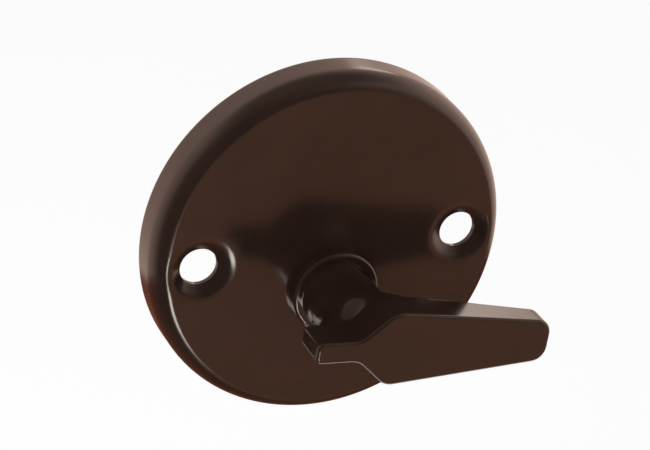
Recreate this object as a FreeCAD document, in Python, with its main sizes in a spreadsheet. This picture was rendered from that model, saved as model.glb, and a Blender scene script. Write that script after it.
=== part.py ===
# Bathroom thumb turn lock: a pressed steel rose with two screw holes, and a cast turn on a square spindle.
# Millimetres. X runs along the line of the two screws, Z is up, and the front faces -Y.
# The origin is the centre of the rose on the face of the door, where its back rim lies.
import FreeCAD, Part
import math
import os
import Sketcher

V = FreeCAD.Vector
doc = FreeCAD.newDocument("thumb_turn_lock")


# The driving sizes. A height is measured from the door towards the viewer.
SIZES = {
    "rose_radius": 25.7,
    "rose_depth": 6.5,
    "sheet": 1.0,
    "rose_edge_radius": 1.7,
    "rose_draft": 1.4,
    "rim_round": 0.15,
    "screw_inset": 6.7,
    "screw_hole_radius": 2.65,
    "dish_radius": 4.9,
    "dish_floor_radius": 2.75,
    "dish_depth": 1.7,
    "dish_lip": 0.02,
    "dish_lip_radius": 1.0,
    "dish_hollow_radius": 0.3,
    "seat_foot": 0.45,
    "seat_spread": 1.5,
    "hub_drop": 5.8,
    "running_clearance": 0.05,
    "face_gap": 0.1,
    "journal_radius": 5.5,
    "journal_end": 1.6,
    "stop_recess_radius": 4.6,
    "key_width": 1.6,
    "key_reach": 0.75,
    "travel": 90.0,
    "stop_margin": 1.0,
    "flange_radius": 6.2,
    "flange_height": 1.75,
    "flange_round": 0.45,
    "neck_radius": 5.1,
    "neck_waist": 0.88,
    "neck_right_reach": 8.0,
    "neck_tail_reach": 7.2,
    "neck_inset": 0.06,
    "lever_back": 18.55,
    "lever_thickness": 5.45,
    "lever_angle": 6.4,
    "lever_reach": 24.9,
    "tail_reach": 9.2,
    "tail_half_width": 1.5,
    "tail_corner": 0.95,
    "tail_straight": 4.1,
    "shoulder_radius": 2.8,
    "shoulder_slope": 42.0,
    "shoulder_half_width": 5.3,
    "lever_taper": 5.9,
    "tip_corner": 2.2,
    "thin_start": 4.0,
    "thin_blend": 40.0,
    "tip_rise": 2.0,
    "lever_round": 0.4,
    "spindle_square": 5.0,
    "socket_depth": 11.5,
    "spindle_behind_door": 42.0,
    "spindle_chamfer": 0.5,
    "washer_width": 2.5,
    "washer_hole_clearance": 0.3,
    "spring_sheet": 0.3,
    "spring_height": 0.65,
    "washer_sheet": 0.8,
    "stack_gap": 0.05,
    "ring_sheet": 0.9,
    "ring_groove_radius": 5.1,
    "ring_width": 1.55,
    "ring_offset": 0.25,
    "ring_opening": 5.4,
    "ring_lug_radius": 1.35,
    "ring_lug_rise": 1.15,
    "ring_lug_hole": 0.6,
    "ring_lug_side": 0.8,
    "cut_margin": 1.0,
}

sizes = doc.addObject("Spreadsheet::Sheet", "Sizes")
for row, (word, number) in enumerate(SIZES.items(), start=1):
    sizes.set(f"A{row}", word)
    sizes.set(f"B{row}", str(number))
    sizes.setAlias(f"B{row}", word)
doc.recompute()


def size(word):
    return float(sizes.get(word))


def new_body(name):
    body = doc.addObject("PartDesign::Body", name)
    body.Label = name
    return body


def origin_plane(body, role):
    return next(item for item in body.Origin.OriginFeatures if item.Role == role)


def new_sketch(body, name, role, offset=None, offset_expression=None):
    """A sketch on one of the body's own planes, pushed along its normal by a bound distance."""
    sketch = body.newObject("Sketcher::SketchObject", name)
    sketch.AttachmentSupport = [(origin_plane(body, role), "")]
    sketch.MapMode = "FlatFace"
    if offset:
        sketch.AttachmentOffset = FreeCAD.Placement(V(*offset), FreeCAD.Rotation())
    if offset_expression:
        sketch.setExpression("AttachmentOffset.Base.z", offset_expression)
    return sketch


def bind(sketch, name, expression, *constraint):
    """Adds a named dimension to the sketch and ties it to the sizes."""
    index = sketch.addConstraint(Sketcher.Constraint(*constraint))
    sketch.renameConstraint(index, name)
    sketch.setExpression("Constraints." + name, expression)


def circle(sketch, name, expression, centre=(0, 0), radius=1.0):
    """A circle whose radius is bound, centred on the origin unless its centre is bound later."""
    geometry = sketch.addGeometry(Part.Circle(V(centre[0], centre[1], 0), V(0, 0, 1), radius))
    bind(sketch, name, expression, "Radius", geometry, radius)
    if centre == (0, 0):
        sketch.addConstraint(Sketcher.Constraint("Coincident", geometry, 3, -1, 1))
    return geometry


def pad(body, name, sketch, length, reverse=False):
    feature = body.newObject("PartDesign::Pad", name)
    feature.Profile = sketch
    feature.Reversed = reverse
    feature.setExpression("Length", length)
    doc.recompute()
    return feature


def pocket(body, name, sketch, length, reverse=False, midplane=False):
    """Cuts, and stops the script if nothing was removed."""
    before = body.Shape.Volume
    feature = body.newObject("PartDesign::Pocket", name)
    feature.Profile = sketch
    feature.Reversed = reverse
    feature.Midplane = midplane
    feature.setExpression("Length", length)
    doc.recompute()
    if body.Shape.Volume > before - 0.01:
        raise RuntimeError(name + " cut nothing")
    return feature


def round_edges(body, name, base, radius, chosen):
    """Rounds the edges of the base feature that the test picks out."""
    names = [f"Edge{i}" for i, edge in enumerate(base.Shape.Edges, start=1) if chosen(edge)]
    if not names:
        raise RuntimeError(name + " found no edges")
    feature = body.newObject("PartDesign::Fillet", name)
    feature.Base = (base, names)
    feature.setExpression("Radius", radius)
    doc.recompute()
    return feature


def flat_at(edge, height):
    """Whether all of an edge lies at one height above the door."""
    return all(abs(-vertex.Y - height) < 1e-4 for vertex in edge.Vertexes)


# The rose: one disc of steel sheet pressed into a shallow cup, open towards the door.
rose = new_body("cover_plate")
radius, depth, sheet = size("rose_radius"), size("rose_depth"), size("sheet")
edge = size("rose_edge_radius")
cup = new_sketch(rose, "cup_section", "XY_Plane")
shift = depth * math.tan(math.radians(size("rose_draft")))
front = radius - shift
cup.addGeometry(Part.LineSegment(V(radius, 0, 0), V(front, edge - depth, 0)))
cup.addGeometry(Part.ArcOfCircle(Part.Circle(V(front - edge, edge - depth, 0), V(0, 0, 1), edge),
                                 -math.pi / 2, 0))
cup.addGeometry(Part.LineSegment(V(front - edge, -depth, 0), V(0, -depth, 0)))
cup.addGeometry(Part.LineSegment(V(0, -depth, 0), V(0, sheet - depth, 0)))
cup.addGeometry(Part.LineSegment(V(0, sheet - depth, 0), V(front - edge, sheet - depth, 0)))
cup.addGeometry(Part.ArcOfCircle(Part.Circle(V(front - edge, edge - depth, 0), V(0, 0, 1), edge - sheet),
                                 -math.pi / 2, 0))
cup.addGeometry(Part.LineSegment(V(front - sheet, edge - depth, 0), V(radius - sheet, 0, 0)))
cup.addGeometry(Part.LineSegment(V(radius - sheet, 0, 0), V(radius, 0, 0)))
WALL, BEND, FACE, AXIS, BACK, INNER_BEND, INNER_WALL, RIM = range(8)
cup.addConstraint(Sketcher.Constraint("Tangent", WALL, 2, BEND, 2))
cup.addConstraint(Sketcher.Constraint("Tangent", BEND, 1, FACE, 1))
cup.addConstraint(Sketcher.Constraint("Coincident", FACE, 2, AXIS, 1))
cup.addConstraint(Sketcher.Constraint("Coincident", AXIS, 2, BACK, 1))
cup.addConstraint(Sketcher.Constraint("Tangent", BACK, 2, INNER_BEND, 1))
cup.addConstraint(Sketcher.Constraint("Tangent", INNER_BEND, 2, INNER_WALL, 1))
cup.addConstraint(Sketcher.Constraint("Coincident", INNER_WALL, 2, RIM, 1))
cup.addConstraint(Sketcher.Constraint("Coincident", RIM, 2, WALL, 1))
cup.addConstraint(Sketcher.Constraint("Horizontal", FACE))
cup.addConstraint(Sketcher.Constraint("Horizontal", BACK))
cup.addConstraint(Sketcher.Constraint("Horizontal", RIM))
cup.addConstraint(Sketcher.Constraint("Vertical", AXIS))
cup.addConstraint(Sketcher.Constraint("PointOnObject", AXIS, 1, -2))
cup.addConstraint(Sketcher.Constraint("PointOnObject", RIM, 1, -1))
cup.addConstraint(Sketcher.Constraint("Parallel", WALL, INNER_WALL))
bind(cup, "draft", "90 deg - Sizes.rose_draft * 1 deg", "Angle", -1, 1, WALL, 2,
     math.radians(90 - size("rose_draft")))
bind(cup, "outer_radius", "Sizes.rose_radius", "DistanceX", -1, 1, WALL, 1, radius)
bind(cup, "depth", "Sizes.rose_depth", "DistanceY", FACE, 2, -1, 1, depth)
bind(cup, "face_sheet", "Sizes.sheet", "DistanceY", AXIS, 1, AXIS, 2, sheet)
bind(cup, "wall_sheet", "Sizes.sheet", "DistanceX", RIM, 1, RIM, 2, sheet)
bind(cup, "bend", "Sizes.rose_edge_radius", "Radius", BEND, edge)
bind(cup, "inner_bend", "Sizes.rose_edge_radius - Sizes.sheet", "Radius", INNER_BEND, edge - sheet)
doc.recompute()
cup_turned = rose.newObject("PartDesign::Revolution", "cup_turned")
cup_turned.Profile = cup
cup_turned.ReferenceAxis = (cup, ["V_Axis"])
cup_turned.Angle = 360.0
doc.recompute()


def dish_section(name):
    """A sketch whose vertical axis is the axis of the right-hand screw hole."""
    section = new_sketch(rose, name, "XY_Plane", offset=(size("rose_radius") - size("screw_inset"), 0, 0))
    section.setExpression("AttachmentOffset.Base.x", "Sizes.rose_radius - Sizes.screw_inset")
    return section


# Behind each screw seat the sheet is pushed in too, as a cone.
seat_back = sheet - depth
floor_back = seat_back + size("dish_depth")
foot = size("dish_floor_radius") + size("seat_foot")
backing = dish_section("seat_backing_section")
seat_corners = [V(0, seat_back, 0), V(foot + size("seat_spread"), seat_back, 0), V(foot, floor_back, 0),
                V(0, floor_back, 0)]
for start, end in zip(seat_corners, seat_corners[1:] + seat_corners[:1]):
    backing.addGeometry(Part.LineSegment(start, end))
for line in range(4):
    backing.addConstraint(Sketcher.Constraint("Coincident", line, 2, (line + 1) % 4, 1))
backing.addConstraint(Sketcher.Constraint("Horizontal", 0))
backing.addConstraint(Sketcher.Constraint("Horizontal", 2))
backing.addConstraint(Sketcher.Constraint("PointOnObject", 0, 1, -2))
backing.addConstraint(Sketcher.Constraint("PointOnObject", 2, 2, -2))
bind(backing, "height", "Sizes.rose_depth - Sizes.sheet", "DistanceY", 0, 1, -1, 1, -seat_back)
bind(backing, "push", "Sizes.dish_depth", "DistanceY", 0, 1, 2, 2, size("dish_depth"))
bind(backing, "floor", "Sizes.dish_floor_radius + Sizes.seat_foot", "DistanceX", 2, 2, 2, 1, foot)
bind(backing, "spread", "Sizes.dish_floor_radius + Sizes.seat_foot + Sizes.seat_spread", "DistanceX",
     0, 1, 0, 2, foot + size("seat_spread"))
seat_backing = rose.newObject("PartDesign::Revolution", "seat_backing")
seat_backing.Profile = backing
seat_backing.ReferenceAxis = (backing, ["V_Axis"])
seat_backing.Angle = 360.0
doc.recompute()

# Each screw seat is a countersunk dimple: a soft lip, a cone and a narrow floor round the hole.
drop = size("dish_depth") + size("dish_lip")
run = size("dish_radius") - size("dish_floor_radius")
lip_round, hollow_round = size("dish_lip_radius"), size("dish_hollow_radius")
both_rounds = lip_round + hollow_round
cone = math.asin(both_rounds / math.hypot(run, both_rounds - drop)) - math.atan2(both_rounds - drop, run)
floor_level = size("dish_depth") - depth
lip_level = floor_level - drop
cone_foot = V(size("dish_floor_radius") + hollow_round * math.sin(cone),
              floor_level - hollow_round * (1 - math.cos(cone)), 0)
cone_top = V(size("dish_radius") - lip_round * math.sin(cone),
             lip_level + lip_round * (1 - math.cos(cone)), 0)
dish = dish_section("screw_dish_section")
dish.addGeometry(Part.LineSegment(V(0, floor_level, 0), V(size("dish_floor_radius"), floor_level, 0)))
dish.addGeometry(Part.ArcOfCircle(Part.Circle(V(size("dish_floor_radius"), floor_level - hollow_round, 0),
                                              V(0, 0, 1), hollow_round), math.pi / 2 - cone, math.pi / 2))
dish.addGeometry(Part.LineSegment(cone_foot, cone_top))
dish.addGeometry(Part.ArcOfCircle(Part.Circle(V(size("dish_radius"), lip_level + lip_round, 0), V(0, 0, 1),
                                              lip_round), -math.pi / 2 - cone, -math.pi / 2))
dish.addGeometry(Part.LineSegment(V(size("dish_radius"), lip_level, 0), V(0, lip_level, 0)))
dish.addGeometry(Part.LineSegment(V(0, lip_level, 0), V(0, floor_level, 0)))
FLOOR, HOLLOW, CONE, LIP, TOP, CENTRE = range(6)
dish.addConstraint(Sketcher.Constraint("Tangent", FLOOR, 2, HOLLOW, 2))
dish.addConstraint(Sketcher.Constraint("Tangent", HOLLOW, 1, CONE, 1))
dish.addConstraint(Sketcher.Constraint("Tangent", CONE, 2, LIP, 1))
dish.addConstraint(Sketcher.Constraint("Tangent", LIP, 2, TOP, 1))
dish.addConstraint(Sketcher.Constraint("Coincident", TOP, 2, CENTRE, 1))
dish.addConstraint(Sketcher.Constraint("Coincident", CENTRE, 2, FLOOR, 1))
dish.addConstraint(Sketcher.Constraint("Horizontal", FLOOR))
dish.addConstraint(Sketcher.Constraint("Horizontal", TOP))
dish.addConstraint(Sketcher.Constraint("PointOnObject", CENTRE, 1, -2))
dish.addConstraint(Sketcher.Constraint("PointOnObject", CENTRE, 2, -2))
bind(dish, "floor_radius", "Sizes.dish_floor_radius", "DistanceX", FLOOR, 1, FLOOR, 2,
     size("dish_floor_radius"))
bind(dish, "dish_radius", "Sizes.dish_radius", "DistanceX", TOP, 2, TOP, 1, size("dish_radius"))
bind(dish, "lip_round", "Sizes.dish_lip_radius", "Radius", LIP, lip_round)
bind(dish, "hollow_round", "Sizes.dish_hollow_radius", "Radius", HOLLOW, hollow_round)
bind(dish, "dish_drop", "Sizes.dish_depth + Sizes.dish_lip", "DistanceY", CENTRE, 1, CENTRE, 2, drop)
bind(dish, "floor_level", "Sizes.rose_depth - Sizes.dish_depth", "DistanceY", CENTRE, 2, -1, 1, -floor_level)
doc.recompute()
solid_cup = rose.Shape.Volume
screw_dish = rose.newObject("PartDesign::Groove", "screw_dish")
screw_dish.Profile = dish
screw_dish.ReferenceAxis = (dish, ["V_Axis"])
screw_dish.Angle = 360.0
doc.recompute()
if rose.Shape.Volume > solid_cup - 1:
    raise RuntimeError("the screw dish cut nothing")

hole = new_sketch(rose, "screw_hole_section", "XZ_Plane", offset_expression="Sizes.rose_depth")
screw_place = size("rose_radius") - size("screw_inset")
screw_radius = size("screw_hole_radius")
hole_centre = circle(hole, "hole_radius", "Sizes.screw_hole_radius", (screw_place, 0), screw_radius)
hole.addConstraint(Sketcher.Constraint("PointOnObject", hole_centre, 3, -1))
bind(hole, "hole_place", "Sizes.rose_radius - Sizes.screw_inset", "DistanceX", -1, 1, hole_centre, 3,
     screw_place)
screw_hole = pocket(rose, "screw_hole", hole, "Sizes.rose_depth")

both_seats = rose.newObject("PartDesign::Mirrored", "both_screw_seats")
both_seats.Originals = [seat_backing, screw_dish, screw_hole]
both_seats.MirrorPlane = (origin_plane(rose, "YZ_Plane"), [""])
rose.Tip = both_seats
doc.recompute()

# The bearing hole of the turn sits below the screw line. One key is left standing in it as the stop.
bore_radius = size("journal_radius") + size("running_clearance")
half_key = size("key_width") / 2
key_tip = bore_radius - size("key_reach")
key_foot = math.sqrt(bore_radius ** 2 - half_key ** 2)
bearing = new_sketch(rose, "bearing_section", "XZ_Plane", offset_expression="Sizes.rose_depth")
bearing_centre = V(0, -size("hub_drop"), 0)
foot_angle = math.acos(half_key / bore_radius)
bearing.addGeometry(Part.ArcOfCircle(Part.Circle(bearing_centre, V(0, 0, 1), bore_radius),
                                     math.pi - foot_angle, 2 * math.pi + foot_angle))
bearing.addGeometry(Part.LineSegment(bearing_centre + V(half_key, key_foot, 0),
                                     bearing_centre + V(half_key, key_tip, 0)))
bearing.addGeometry(Part.LineSegment(bearing_centre + V(half_key, key_tip, 0),
                                     bearing_centre + V(-half_key, key_tip, 0)))
bearing.addGeometry(Part.LineSegment(bearing_centre + V(-half_key, key_tip, 0),
                                     bearing_centre + V(-half_key, key_foot, 0)))
bearing.addConstraint(Sketcher.Constraint("Coincident", 0, 2, 1, 1))
bearing.addConstraint(Sketcher.Constraint("Coincident", 1, 2, 2, 1))
bearing.addConstraint(Sketcher.Constraint("Coincident", 2, 2, 3, 1))
bearing.addConstraint(Sketcher.Constraint("Coincident", 3, 2, 0, 1))
bearing.addConstraint(Sketcher.Constraint("Vertical", 1))
bearing.addConstraint(Sketcher.Constraint("Vertical", 3))
bearing.addConstraint(Sketcher.Constraint("PointOnObject", 0, 3, -2))
bearing.addConstraint(Sketcher.Constraint("Symmetric", 2, 1, 2, 2, -2))
bind(bearing, "bore", "Sizes.journal_radius + Sizes.running_clearance", "Radius", 0, bore_radius)
bind(bearing, "hub_drop", "Sizes.hub_drop", "DistanceY", 0, 3, -1, 1, size("hub_drop"))
bind(bearing, "key_width", "Sizes.key_width", "DistanceX", 2, 2, 2, 1, size("key_width"))
bind(bearing, "key_tip", "Sizes.journal_radius + Sizes.running_clearance - Sizes.key_reach", "DistanceY",
     0, 3, 2, 1, key_tip)
pocket(rose, "bearing_hole", bearing, "Sizes.sheet + Sizes.dish_depth")
round_edges(rose, "rim_rounding", rose.Tip, "Sizes.rim_round",
            lambda item: flat_at(item, 0.0) and item.Length > 2 * math.pi * (radius - 0.01))


# The turn: one zinc casting of lever, scooped neck, round flange and journal.
# Its own X runs along the lever, and the whole body is laid on the hub's axis.
thumb = new_body("thumb_turn")

# The lever's outline above its centre line: a short tail, a shoulder in two arcs, and a long taper.
outline = new_sketch(thumb, "lever_outline", "XZ_Plane",
                     offset_expression="Sizes.lever_back - Sizes.cut_margin")
tail, reach = -size("tail_reach"), size("lever_reach")
tail_half, tail_corner, tip_corner = size("tail_half_width"), size("tail_corner"), size("tip_corner")
bend_radius, slope = size("shoulder_radius"), math.radians(size("shoulder_slope"))
taper = math.radians(size("lever_taper"))
straight = -size("tail_straight")
first_centre = V(straight, tail_half + bend_radius, 0)
first_end = first_centre + V(bend_radius * math.sin(slope), -bend_radius * math.cos(slope), 0)
second_start_level = (size("shoulder_half_width") - bend_radius * math.cos(taper)
                      + bend_radius * math.cos(slope))
rise = second_start_level - first_end.y
second_start = first_end + V(rise / math.tan(slope), rise, 0)
second_centre = second_start + V(bend_radius * math.sin(slope), -bend_radius * math.cos(slope), 0)
crown = second_centre + V(bend_radius * math.sin(taper), bend_radius * math.cos(taper), 0)
tip_top = crown.y - (reach - tip_corner + tip_corner * math.sin(taper) - crown.x) * math.tan(taper)
tip_centre = V(reach - tip_corner, tip_top - tip_corner * math.cos(taper), 0)
outline.addGeometry(Part.LineSegment(V(tail, 0, 0), V(tail, tail_half - tail_corner, 0)))
outline.addGeometry(Part.ArcOfCircle(
    Part.Circle(V(tail + tail_corner, tail_half - tail_corner, 0), V(0, 0, 1), tail_corner),
    math.pi / 2, math.pi))
outline.addGeometry(Part.LineSegment(V(tail + tail_corner, tail_half, 0), V(straight, tail_half, 0)))
outline.addGeometry(Part.ArcOfCircle(Part.Circle(first_centre, V(0, 0, 1), bend_radius),
                                     -math.pi / 2, slope - math.pi / 2))
outline.addGeometry(Part.LineSegment(first_end, second_start))
outline.addGeometry(Part.ArcOfCircle(Part.Circle(second_centre, V(0, 0, 1), bend_radius),
                                     math.pi / 2 - taper, math.pi / 2 + slope))
outline.addGeometry(Part.LineSegment(crown, tip_centre + V(tip_corner * math.sin(taper),
                                                           tip_corner * math.cos(taper), 0)))
outline.addGeometry(Part.ArcOfCircle(Part.Circle(tip_centre, V(0, 0, 1), tip_corner),
                                     0, math.pi / 2 - taper))
outline.addGeometry(Part.LineSegment(V(reach, tip_centre.y, 0), V(reach, 0, 0)))
outline.addGeometry(Part.LineSegment(V(reach, 0, 0), V(tail, 0, 0)))
END, END_CORNER, TAIL, RISE_IN, RISE, RISE_OUT, TAPER, TIP_CORNER, TIP, SPINE = range(10)
outline.addConstraint(Sketcher.Constraint("Tangent", END, 2, END_CORNER, 2))
outline.addConstraint(Sketcher.Constraint("Tangent", END_CORNER, 1, TAIL, 1))
outline.addConstraint(Sketcher.Constraint("Tangent", TAIL, 2, RISE_IN, 1))
outline.addConstraint(Sketcher.Constraint("Tangent", RISE_IN, 2, RISE, 1))
outline.addConstraint(Sketcher.Constraint("Tangent", RISE, 2, RISE_OUT, 2))
outline.addConstraint(Sketcher.Constraint("Tangent", RISE_OUT, 1, TAPER, 1))
outline.addConstraint(Sketcher.Constraint("Tangent", TAPER, 2, TIP_CORNER, 2))
outline.addConstraint(Sketcher.Constraint("Tangent", TIP_CORNER, 1, TIP, 1))
outline.addConstraint(Sketcher.Constraint("Coincident", TIP, 2, SPINE, 1))
outline.addConstraint(Sketcher.Constraint("Coincident", SPINE, 2, END, 1))
outline.addConstraint(Sketcher.Constraint("Vertical", END))
outline.addConstraint(Sketcher.Constraint("Vertical", TIP))
outline.addConstraint(Sketcher.Constraint("Horizontal", TAIL))
outline.addConstraint(Sketcher.Constraint("PointOnObject", SPINE, 1, -1))
outline.addConstraint(Sketcher.Constraint("PointOnObject", SPINE, 2, -1))
bind(outline, "tail_reach", "Sizes.tail_reach", "DistanceX", SPINE, 2, -1, 1, size("tail_reach"))
bind(outline, "lever_reach", "Sizes.lever_reach", "DistanceX", -1, 1, SPINE, 1, reach)
bind(outline, "tail_half_width", "Sizes.tail_half_width", "DistanceY", -1, 1, TAIL, 1, tail_half)
bind(outline, "tail_corner", "Sizes.tail_corner", "Radius", END_CORNER, tail_corner)
bind(outline, "tip_corner", "Sizes.tip_corner", "Radius", TIP_CORNER, tip_corner)
bind(outline, "tail_straight", "Sizes.tail_straight", "DistanceX", TAIL, 2, -1, 1, -straight)
bind(outline, "rise_in", "Sizes.shoulder_radius", "Radius", RISE_IN, bend_radius)
bind(outline, "rise_out", "Sizes.shoulder_radius", "Radius", RISE_OUT, bend_radius)
bind(outline, "slope", "Sizes.shoulder_slope * 1 deg", "Angle", RISE, slope)
bind(outline, "taper", "-Sizes.lever_taper * 1 deg", "Angle", TAPER, -taper)
bind(outline, "shoulder", "Sizes.shoulder_half_width", "DistanceY", -1, 1, TAPER, 1,
     size("shoulder_half_width"))
doc.recompute()
half_lever = pad(thumb, "half_lever", outline, "Sizes.lever_thickness + Sizes.cut_margin")
lever = thumb.newObject("PartDesign::Mirrored", "lever")
lever.Originals = [half_lever]
lever.MirrorPlane = (origin_plane(thumb, "XY_Plane"), [""])
thumb.Tip = lever
doc.recompute()

# One cut makes the lever's back. It is flat under the neck, then bends and rises, so that the lever
# thins towards its tip.
thinning = new_sketch(thumb, "thinning_section", "XY_Plane")
low, high = -size("lever_back"), -size("lever_back") - size("tip_rise")
start, blend, margin = size("thin_start"), size("thin_blend"), size("cut_margin")
to_tip = math.hypot(reach - start, blend - size("tip_rise"))
rise_angle = math.pi / 2 - math.atan2(blend - size("tip_rise"), reach - start) - math.acos(blend / to_tip)
blend_centre = V(start, low - blend, 0)
blend_end = blend_centre + V(blend * math.sin(rise_angle), blend * math.cos(rise_angle), 0)
behind = low + 2 * margin
thinning.addGeometry(Part.LineSegment(V(tail - margin, low, 0), V(start, low, 0)))
thinning.addGeometry(Part.ArcOfCircle(Part.Circle(blend_centre, V(0, 0, 1), blend),
                                      math.pi / 2 - rise_angle, math.pi / 2))
thinning.addGeometry(Part.LineSegment(blend_end, V(reach, high, 0)))
thinning.addGeometry(Part.LineSegment(V(reach, high, 0), V(reach, behind, 0)))
thinning.addGeometry(Part.LineSegment(V(reach, behind, 0), V(tail - margin, behind, 0)))
thinning.addGeometry(Part.LineSegment(V(tail - margin, behind, 0), V(tail - margin, low, 0)))
FLAT, BLEND, SLOPE, TIP_SIDE, BEHIND, TAIL_SIDE = range(6)
thinning.addConstraint(Sketcher.Constraint("Tangent", FLAT, 2, BLEND, 2))
thinning.addConstraint(Sketcher.Constraint("Tangent", BLEND, 1, SLOPE, 1))
for line in (SLOPE, TIP_SIDE, BEHIND, TAIL_SIDE):
    thinning.addConstraint(Sketcher.Constraint("Coincident", line, 2, (line + 1) % 6, 1))
thinning.addConstraint(Sketcher.Constraint("Horizontal", FLAT))
thinning.addConstraint(Sketcher.Constraint("Horizontal", BEHIND))
thinning.addConstraint(Sketcher.Constraint("Vertical", TIP_SIDE))
thinning.addConstraint(Sketcher.Constraint("Vertical", TAIL_SIDE))
bind(thinning, "thin_start", "Sizes.thin_start", "DistanceX", -1, 1, FLAT, 2, start)
bind(thinning, "thin_blend", "Sizes.thin_blend", "Radius", BLEND, blend)
bind(thinning, "thin_end", "Sizes.lever_reach", "DistanceX", -1, 1, SLOPE, 2, reach)
bind(thinning, "thin_back", "Sizes.lever_back", "DistanceY", FLAT, 2, -1, 1, -low)
bind(thinning, "tip_rise", "Sizes.tip_rise", "DistanceY", SLOPE, 2, FLAT, 2, size("tip_rise"))
bind(thinning, "thin_tail", "Sizes.tail_reach + Sizes.cut_margin", "DistanceX", FLAT, 1, -1, 1, margin - tail)
bind(thinning, "thin_behind", "2 * Sizes.cut_margin", "DistanceY", FLAT, 1, BEHIND, 2, 2 * margin)
thinned = pocket(thumb, "thinned_lever", thinning, "Sizes.shoulder_half_width * 3", midplane=True)
lever_front = size("lever_back") + size("lever_thickness")


def lever_rim(item):
    """The edges that run round the lever's front face and round its back face."""
    along_front = flat_at(item, lever_front)
    sides = [abs(vertex.Z) for vertex in item.Vertexes]
    across = any(all(abs(vertex.X - place) < 1e-3 for vertex in item.Vertexes)
                 for place in (start, blend_end.x))
    on_back = all(-vertex.Y < size("lever_back") + size("tip_rise") + 1e-3 for vertex in item.Vertexes)
    return along_front or (on_back and not across and max(sides) > 1e-3)


round_edges(thumb, "lever_rounding", thinned, "Sizes.lever_round", lever_rim)

# Behind the lever the neck is scooped: it leaves the flange round, draws in to a waist, then flares
# into the lever's back, reaching under the tail on one side and under the grip on the other.
neck_foot = size("rose_depth") + size("face_gap") + size("flange_height")
neck_span = size("lever_back") - neck_foot
inset = size("neck_inset")
under_right, under_tail = size("neck_right_reach"), -size("neck_tail_reach")
# Each point under the lever is paired with the angle at which it leaves the round foot.
grip_side = [(1.0, 0.0, 0.0), (0.89, 0.58, 27.0), (0.60, 0.91, 50.0)]
lever_trace = [(V(along * under_right, across * crown.y, 0), angle) for along, across, angle in grip_side]
lever_trace += [
    (crown + V(0, -inset, 0), 76.0),
    (second_start + V(inset, -inset, 0), 100.0),
    (first_end + V(inset, -inset, 0), 128.0),
    (V(straight, tail_half - inset, 0), 151.0),
    (V(0.93 * under_tail, 0.8 * tail_half, 0), 169.0),
    (V(under_tail, 0, 0), 180.0),
]


def neck_section(name, share, waist, flare):
    """One closed curve part of the way up the neck, between a circle and the lever's outline."""
    section = new_sketch(thumb, name, "XZ_Plane", offset=(0, 0, neck_foot + share * neck_span))
    height = "Sizes.rose_depth + Sizes.face_gap + Sizes.flange_height"
    section.setExpression("AttachmentOffset.Base.z",
                          f"({height}) * {1 - share} + Sizes.lever_back * {share}")
    upper = []
    for place, angle in lever_trace:
        around = math.radians(angle)
        ring = V(math.cos(around), math.sin(around), 0) * size("neck_radius") * waist
        upper.append(ring * (1 - flare) + place * flare)
    lower = [V(point.x, -point.y, 0) for point in reversed(upper[1:-1])]
    curve = Part.BSplineCurve()
    curve.interpolate(Points=upper + lower, PeriodicFlag=True)
    section.addGeometry(curve)
    return section


waist = size("neck_waist")
neck_sections = [
    neck_section("neck_foot", -0.02, 1.0, 0.0),
    neck_section("neck_low", 0.25, 0.5 * (1 + waist), 0.0),
    neck_section("neck_middle", 0.55, waist, 0.16),
    neck_section("neck_high", 0.82, waist, 0.54),
    neck_section("neck_top", 1.0, 1.0, 1.0),
    neck_section("neck_root", 1.08, 1.0, 1.0),
]
doc.recompute()
neck = thumb.newObject("PartDesign::AdditiveLoft", "neck")
neck.Profile = neck_sections[0]
neck.Sections = neck_sections[1:]
doc.recompute()

# The flange bears on the rose and hides the edge of the bearing hole.
flange_section = new_sketch(thumb, "flange_section", "XZ_Plane",
                            offset_expression="Sizes.rose_depth + Sizes.face_gap")
circle(flange_section, "flange_radius", "Sizes.flange_radius", radius=size("flange_radius"))
flange = pad(thumb, "flange", flange_section, "Sizes.flange_height")
round_edges(thumb, "flange_rounding", flange, "Sizes.flange_round",
            lambda item: flat_at(item, neck_foot)
            and item.Length > 2 * math.pi * (size("flange_radius") - 0.01))

# The journal runs through the rose. Its recess gives the stop key a quarter turn and no more.
journal_section = new_sketch(thumb, "journal_section", "XZ_Plane", offset_expression="Sizes.journal_end")
circle(journal_section, "journal_radius", "Sizes.journal_radius", radius=size("journal_radius"))
pad(thumb, "journal", journal_section, "Sizes.rose_depth + Sizes.face_gap - Sizes.journal_end")

key_half_angle = math.degrees(math.asin(half_key / key_tip))
recess_end = 90.0 + size("lever_angle") + key_half_angle + size("stop_margin")
recess_start = 90.0 + size("lever_angle") - size("travel") - key_half_angle - size("stop_margin")
recess = new_sketch(thumb, "stop_recess_section", "XZ_Plane",
                    offset_expression="Sizes.rose_depth + Sizes.face_gap")
recess_inner, recess_outer = size("stop_recess_radius"), size("journal_radius") + size("cut_margin")


def polar(distance, degrees):
    return V(distance * math.cos(math.radians(degrees)), distance * math.sin(math.radians(degrees)), 0)


recess.addGeometry(Part.ArcOfCircle(Part.Circle(V(0, 0, 0), V(0, 0, 1), recess_inner),
                                    math.radians(recess_start), math.radians(recess_end)))
recess.addGeometry(Part.LineSegment(polar(recess_inner, recess_end), polar(recess_outer, recess_end)))
recess.addGeometry(Part.ArcOfCircle(Part.Circle(V(0, 0, 0), V(0, 0, 1), recess_outer),
                                    math.radians(recess_start), math.radians(recess_end)))
recess.addGeometry(Part.LineSegment(polar(recess_outer, recess_start), polar(recess_inner, recess_start)))
recess.addConstraint(Sketcher.Constraint("Coincident", 0, 3, -1, 1))
recess.addConstraint(Sketcher.Constraint("Coincident", 2, 3, -1, 1))
recess.addConstraint(Sketcher.Constraint("Coincident", 0, 2, 1, 1))
recess.addConstraint(Sketcher.Constraint("Coincident", 1, 2, 2, 2))
recess.addConstraint(Sketcher.Constraint("Coincident", 2, 1, 3, 1))
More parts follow.
